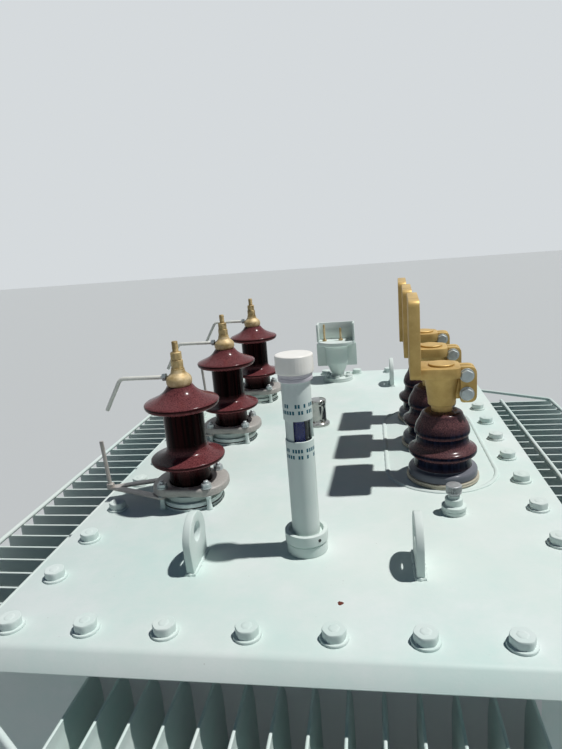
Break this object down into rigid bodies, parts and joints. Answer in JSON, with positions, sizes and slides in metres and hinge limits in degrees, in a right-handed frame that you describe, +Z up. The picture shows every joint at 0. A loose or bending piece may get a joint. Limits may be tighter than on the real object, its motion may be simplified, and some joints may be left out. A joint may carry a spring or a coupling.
{
  "type": "oil-filled distribution transformer",
  "caption": "Sealed oil-filled transformer with a corrugated finned tank, brown porcelain bushings, arcing horns, brass terminals, lifting lugs and a gauge tube on a bolted cover.",
  "frame": {"origin": "on the ground under the middle of the tank", "axes": "+Z up, +Y along the tank away from the gauge end, +X towards the low-voltage side"},
  "size_m": [1.3446, 1.6446, 1.5612],
  "materials": {
    "tank_paint": "pale grey-green paint on steel",
    "gasket_rubber": "oil-proof sheet",
    "brown_porcelain": "red-brown glaze",
    "cast_brass": "cast and machined",
    "cast_aluminium": "as cast",
    "zinc_steel": "zinc plated",
    "sight_tube": "clear tube with a dark blue float behind it",
    "white_plastic": "moulded",
    "plated_dome": "bright plated"
  },
  "bodies": {
    "root": {"bar_loop_low": "tank_paint", "bar_loop_top": "tank_paint", "cover": "tank_paint", "cover_gasket": "gasket_rubber", "fins_back": "tank_paint", "fins_front": "tank_paint", "fins_left": "tank_paint", "fins_right": "tank_paint", "gauge_cap": "white_plastic", "gauge_collar": "tank_paint", "gauge_sight": "sight_tube", "gauge_sleeve": "tank_paint", "gauge_tube": "tank_paint", "head_body": "tank_paint", "head_flange": "tank_paint", "head_tray": "tank_paint", "horn_lower_a": "zinc_steel", "horn_lower_b": "zinc_steel", "horn_lower_c": "zinc_steel", "horn_upper_a": "zinc_steel", "horn_upper_b": "zinc_steel", "horn_upper_c": "zinc_steel", "hv_base_a": "tank_paint", "hv_base_b": "tank_paint", "hv_base_c": "tank_paint", "hv_cap_a": "cast_brass", "hv_cap_b": "cast_brass", "hv_cap_c": "cast_brass", "hv_clamp_a": "cast_aluminium", "hv_clamp_b": "cast_aluminium", "hv_clamp_c": "cast_aluminium", "hv_porcelain_a": "brown_porcelain", "hv_porcelain_b": "brown_porcelain", "hv_porcelain_c": "brown_porcelain", "lug_back_left": "tank_paint", "lug_back_right": "tank_paint", "lug_front_left": "tank_paint", "lug_front_right": "tank_paint", "lv_pad": "tank_paint", "lv_porcelain_a": "brown_porcelain", "lv_porcelain_b": "brown_porcelain", "lv_porcelain_c": "brown_porcelain", "lv_ring_a": "zinc_steel", "lv_ring_b": "zinc_steel", "lv_ring_c": "zinc_steel", "lv_terminal_a": "cast_brass", "lv_terminal_b": "cast_brass", "lv_terminal_c": "cast_brass", "rail_left": "tank_paint", "rail_right": "tank_paint", "relief_dome": "plated_dome", "sampling_plug": "zinc_steel", "skid_back": "tank_paint", "skid_front": "tank_paint", "tank_floor": "tank_paint", "tank_walls": "tank_paint", "top_flange": "tank_paint"}
  },
  "joints": []
}
